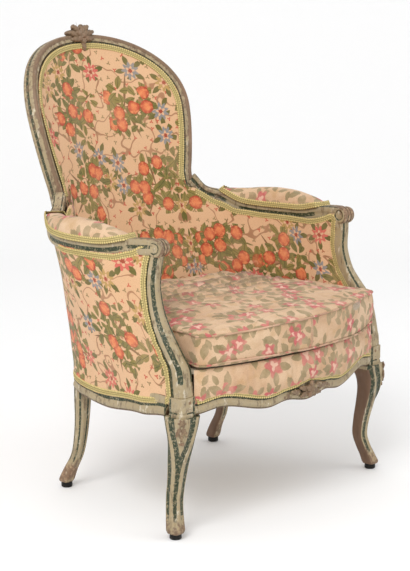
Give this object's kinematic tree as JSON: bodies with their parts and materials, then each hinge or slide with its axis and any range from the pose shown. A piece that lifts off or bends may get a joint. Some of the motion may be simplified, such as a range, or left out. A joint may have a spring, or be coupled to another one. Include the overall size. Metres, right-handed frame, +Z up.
{
  "type": "bergere armchair",
  "caption": "Low upholstered armchair with a carved painted frame, concave back, padded arms and a loose seat cushion.",
  "frame": {"origin": "on the floor, in the plane of symmetry, at the middle of the chair's depth", "axes": "+Z up, the sitter faces -Y, +X to the sitter's left hand"},
  "size_m": [0.684, 0.7137, 0.975],
  "materials": {
    "rose_fabric": "faded rose floral cotton",
    "stuffing": "horsehair and cotton wadding",
    "painted_wood": "old cream paint with green lines, worn to brown at the edges",
    "hessian": "hessian",
    "bare_wood": "bare beech, darkened by age",
    "piping_cord": "faded rose cotton piping",
    "gimp_braid": "woven olive-yellow braid",
    "glide_metal": "black japanned metal, worn",
    "nail_steel": "dull steel",
    "print_fabric": "peach cotton with a fruit and blossom print",
    "deck_cloth": "plain calico",
    "webbing": "jute webbing"
  },
  "bodies": {
    "frame": {"arm_pad_cover_left": "rose_fabric", "arm_pad_cover_right": "rose_fabric", "arm_pad_stuffing_left": "stuffing", "arm_pad_stuffing_right": "stuffing", "arm_post_left": "painted_wood", "arm_post_right": "painted_wood", "arm_rail_left": "painted_wood", "arm_rail_right": "painted_wood", "back_hessian": "hessian", "corner_blocks": "bare_wood", "crest_rail": "painted_wood", "front_border": "rose_fabric", "front_leg_left": "painted_wood", "front_leg_right": "painted_wood", "front_rail": "painted_wood", "gimp_arm_pad_inner_left": "gimp_braid", "gimp_arm_pad_inner_right": "gimp_braid", "gimp_arm_pad_outer_left": "gimp_braid", "gimp_arm_pad_outer_right": "gimp_braid", "gimp_front": "gimp_braid", "gimp_inside_arm_left": "gimp_braid", "gimp_inside_arm_right": "gimp_braid", "gimp_inside_back": "gimp_braid", "gimp_outside_arm_left": "gimp_braid", "gimp_outside_arm_right": "gimp_braid", "gimp_outside_back": "gimp_braid", "glide_front_left": "glide_metal", "glide_front_right": "glide_metal", "glide_nails": "nail_steel", "glide_rear_left": "glide_metal", "glide_rear_right": "glide_metal", "inside_arm_cover_left": "print_fabric", "inside_arm_cover_right": "print_fabric", "inside_arm_stuffing_left": "stuffing", "inside_arm_stuffing_right": "stuffing", "inside_back_cover": "print_fabric", "inside_back_stuffing": "stuffing", "joint_pegs": "bare_wood", "lower_back_rail": "bare_wood", "outside_arm_cover_left": "print_fabric", "outside_arm_cover_right": "print_fabric", "outside_back_cover": "print_fabric", "rear_rail": "bare_wood", "rear_upright_left": "painted_wood", "rear_upright_right": "painted_wood", "seat_cover": "deck_cloth", "seat_hessian": "hessian", "seat_stuffing": "stuffing", "seat_webbing": "webbing", "side_rail_left": "painted_wood", "side_rail_right": "painted_wood"},
    "cushion": {"cushion_cover": "rose_fabric", "cushion_filling": "stuffing", "cushion_piping_lower": "piping_cord", "cushion_piping_upper": "piping_cord"}
  },
  "joints": [
    {"name": "cushion_lift", "type": "slide", "parent": "frame", "child": "cushion", "axis": [0, 0, 1], "range_m": [0, 0.6]}
  ]
}
